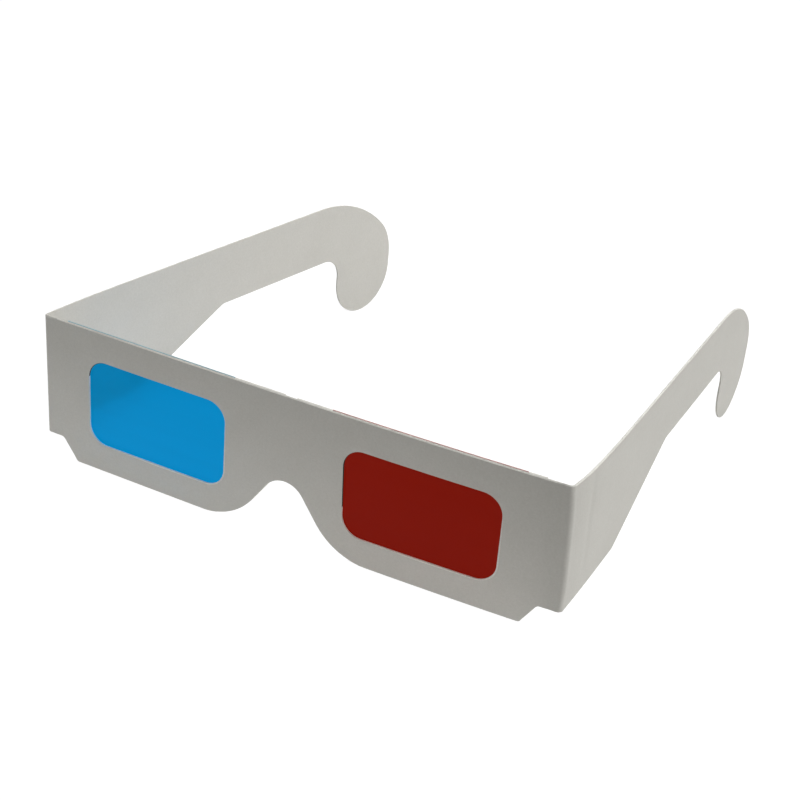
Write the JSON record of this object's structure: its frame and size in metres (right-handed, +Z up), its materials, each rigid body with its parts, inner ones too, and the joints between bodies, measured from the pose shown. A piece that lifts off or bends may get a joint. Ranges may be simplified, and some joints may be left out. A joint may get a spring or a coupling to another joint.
{
  "type": "card 3d glasses",
  "caption": "White card anaglyph glasses: a front with cyan and red film windows and a nose notch, and creased temples with ear hooks that fold flat.",
  "frame": {"origin": "middle of the footprint on the surface that the glasses stand on", "axes": "+X to the wearer's left across the front, +Y from the front back to the ear hooks, +Z up"},
  "size_m": [0.133, 0.129, 0.0366],
  "materials": {
    "card": "uncoated white card with a slight sheen",
    "cyan_film": "clear gloss cyan film",
    "red_film": "clear gloss red film",
    "glue": "dried white glue"
  },
  "bodies": {
    "front": {"front_panel": "card", "left_back_flap": "card", "right_back_flap": "card", "left_bottom_fold": "card", "right_bottom_fold": "card", "red_film": "red_film", "cyan_film": "cyan_film", "left_front_glue": "glue", "right_front_glue": "glue", "left_back_glue": "glue", "right_back_glue": "glue", "left_bridge_glue": "glue", "right_bridge_glue": "glue", "left_lower_glue": "glue", "right_lower_glue": "glue", "left_crease": "card", "right_crease": "card"},
    "left_temple": {"left_temple": "card"},
    "right_temple": {"right_temple": "card"}
  },
  "joints": [
    {"name": "left_temple_fold", "type": "hinge", "parent": "front", "child": "left_temple", "pos_m": [0.06552, -0.06351, 0.02095], "axis": [0, 0, 1], "range_deg": [-90, 79]},
    {"name": "right_temple_fold", "type": "hinge", "parent": "front", "child": "right_temple", "pos_m": [-0.06552, -0.06351, 0.02095], "axis": [0, 0, -1], "range_deg": [-102, 78]}
  ]
}
